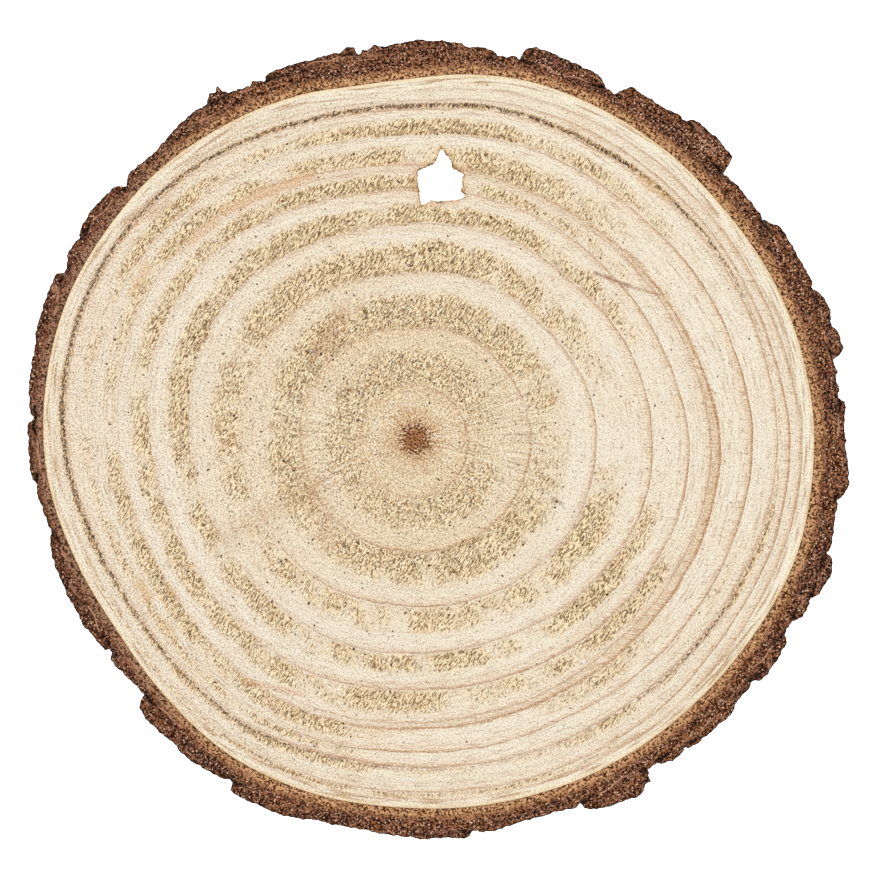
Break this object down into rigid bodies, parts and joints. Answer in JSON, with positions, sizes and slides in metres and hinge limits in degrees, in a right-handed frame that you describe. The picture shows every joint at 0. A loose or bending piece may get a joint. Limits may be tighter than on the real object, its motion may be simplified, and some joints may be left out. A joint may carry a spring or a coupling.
{
  "type": "wood slice",
  "caption": "Round slice sawn across a small conifer trunk, bark left on, flat on both faces, with a ragged hanging hole near one edge.",
  "frame": {"origin": "on the sawn underside, in the middle of the slice's width and depth", "axes": "+Z out of the upper sawn face; +Y from the middle towards the side with the hanging hole; +X to the right, along the widest way across"},
  "size_m": [0.1138, 0.1108, 0.01],
  "materials": {
    "wood": "sawn, pale, unvarnished",
    "bark": "rough, matt, dark brown"
  },
  "bodies": {
    "root": {"wood": "wood", "bark": "bark"}
  },
  "joints": []
}
